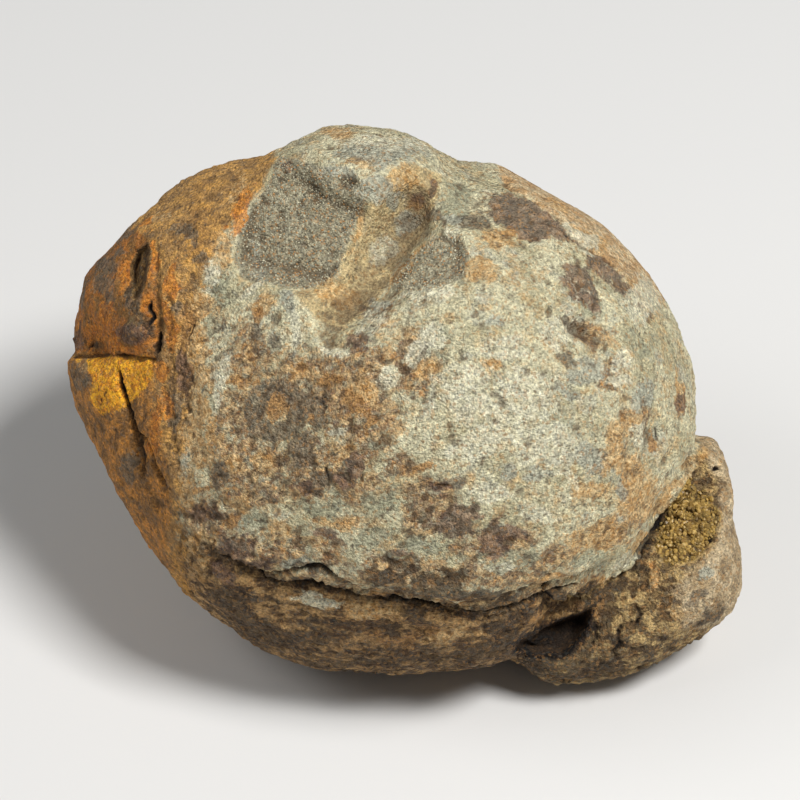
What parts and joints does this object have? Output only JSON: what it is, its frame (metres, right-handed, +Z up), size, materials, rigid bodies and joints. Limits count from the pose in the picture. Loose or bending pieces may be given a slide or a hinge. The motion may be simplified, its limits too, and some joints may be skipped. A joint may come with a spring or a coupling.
{
  "type": "fossil trilobite",
  "caption": "Rolled-up fossil in iron-stained stone: a smooth dome over a far shield, a broken upper flank with a trough, a folded end and a snout.",
  "frame": {"origin": "middle of the stone's bounding box in plan, on the surface it lies on", "axes": "+X along the stone's length, from the folded end towards the snout; +Z up; the display face looks half up along -Y"},
  "size_m": [0.0642, 0.0466, 0.0483],
  "materials": {
    "ironstone": "dry, worn, iron-stained stone, mottled cream, sage, ochre, rust and maroon"
  },
  "bodies": {
    "root": {"fossil": "ironstone"}
  },
  "joints": []
}
